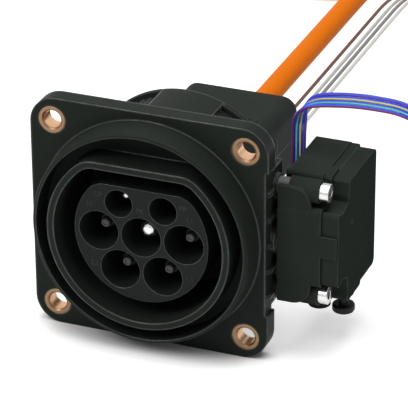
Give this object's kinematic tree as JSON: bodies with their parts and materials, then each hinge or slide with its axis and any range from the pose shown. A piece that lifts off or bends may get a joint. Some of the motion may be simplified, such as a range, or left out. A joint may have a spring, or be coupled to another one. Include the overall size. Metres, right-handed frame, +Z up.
{
  "type": "charge port inlet",
  "caption": "Square-flanged vehicle charging inlet with a D-shaped contact well, a rear cable cap and a side actuator whose geared drive slides a lock bolt.",
  "frame": {"origin": "centre of the mounting hole pattern, on the flange's front face", "axes": "-Y points out of the plug opening, +Z up, +X towards the locking actuator"},
  "size_m": [0.2192, 0.3942, 0.0815],
  "materials": {
    "housing_plastic": "fine-grained satin black moulding",
    "carrier_plastic": "fine-grained satin black moulding",
    "cap_plastic": "fine-grained satin black moulding",
    "actuator_plastic": "fine-grained satin black moulding",
    "bush_brass": "turned, faintly ringed",
    "pin_metal": "bright silver plating",
    "guard_plastic": "smooth grey moulding",
    "screw_steel": "bright zinc plating",
    "seal_rubber": "matt black rubber",
    "bolt_steel": "ground steel",
    "motor_steel": "drawn steel can",
    "gear_plastic": "natural acetal",
    "knob_plastic": "smooth black moulding",
    "board_laminate": "green solder mask",
    "cable_jacket": "smooth orange jacket",
    "wire_jacket": "smooth coloured insulation",
    "lead_jacket": "smooth blue insulation with a coloured stripe"
  },
  "bodies": {
    "inlet_body": {"inlet_housing": "housing_plastic", "mounting_bushes": "bush_brass", "contact_carrier": "carrier_plastic", "power_pins": "pin_metal", "touch_guards": "guard_plastic", "earth_pin": "pin_metal", "pilot_pin": "pin_metal", "proximity_pin": "pin_metal", "contact_retainer": "carrier_plastic", "body_screws": "screw_steel", "carrier_seal": "seal_rubber", "body_gasket": "seal_rubber", "cap_upper": "cap_plastic", "cap_lower": "cap_plastic", "cap_screws": "screw_steel", "cable_gland": "seal_rubber", "signal_grommet": "seal_rubber", "actuator_housing": "actuator_plastic", "actuator_cover": "actuator_plastic", "actuator_screws": "screw_steel", "spacer_sleeves": "knob_plastic", "bolt_seal": "seal_rubber", "lead_grommet": "seal_rubber", "drive_motor": "motor_steel", "circuit_board": "board_laminate", "position_switch": "knob_plastic", "main_cable": "cable_jacket", "main_cable_coil": "cable_jacket", "signal_wires": "wire_jacket", "signal_coil": "wire_jacket", "actuator_leads": "lead_jacket", "lead_coil": "lead_jacket", "coil_ties": "knob_plastic"},
    "bolt_carriage": {"lock_bolt": "bolt_steel"},
    "drive_spindle": {"spindle": "bolt_steel"},
    "drive_pinion": {"motor_pinion": "gear_plastic"},
    "release_wheel": {"release_idler": "gear_plastic"},
    "release_handle": {"release_gear": "gear_plastic", "release_knob": "knob_plastic"}
  },
  "joints": [
    {"name": "spindle_spin", "type": "hinge", "parent": "inlet_body", "child": "drive_spindle", "pos_m": [0.051, 0.023, 0], "axis": [1, 0, 0], "range_deg": [0, 360]},
    {"name": "bolt_slide", "type": "slide", "parent": "inlet_body", "child": "bolt_carriage", "axis": [-1, 0, 0], "range_m": [0, 0.006]},
    {"name": "pinion_spin", "type": "hinge", "parent": "inlet_body", "child": "drive_pinion", "pos_m": [0.057, 0.0338, 0], "axis": [1, 0, 0], "range_deg": [-720.5, 0]},
    {"name": "idler_spin", "type": "hinge", "parent": "inlet_body", "child": "release_wheel", "pos_m": [0.05095, 0.023, -0.0098], "axis": [0, 0, 1], "range_deg": [-96, 0]},
    {"name": "release_turn", "type": "hinge", "parent": "inlet_body", "child": "release_handle", "pos_m": [0.0564, 0.0255, -0.02], "axis": [0, 0, 1], "range_deg": [0, 144]}
  ],
  "couplings": [
    {"joint": "spindle_spin", "follows": "bolt_slide", "rad_per_m": 1047.2},
    {"joint": "pinion_spin", "follows": "bolt_slide", "rad_per_m": -2094.4},
    {"joint": "idler_spin", "follows": "bolt_slide", "rad_per_m": -277.78},
    {"joint": "release_turn", "follows": "bolt_slide", "rad_per_m": 416.67}
  ]
}
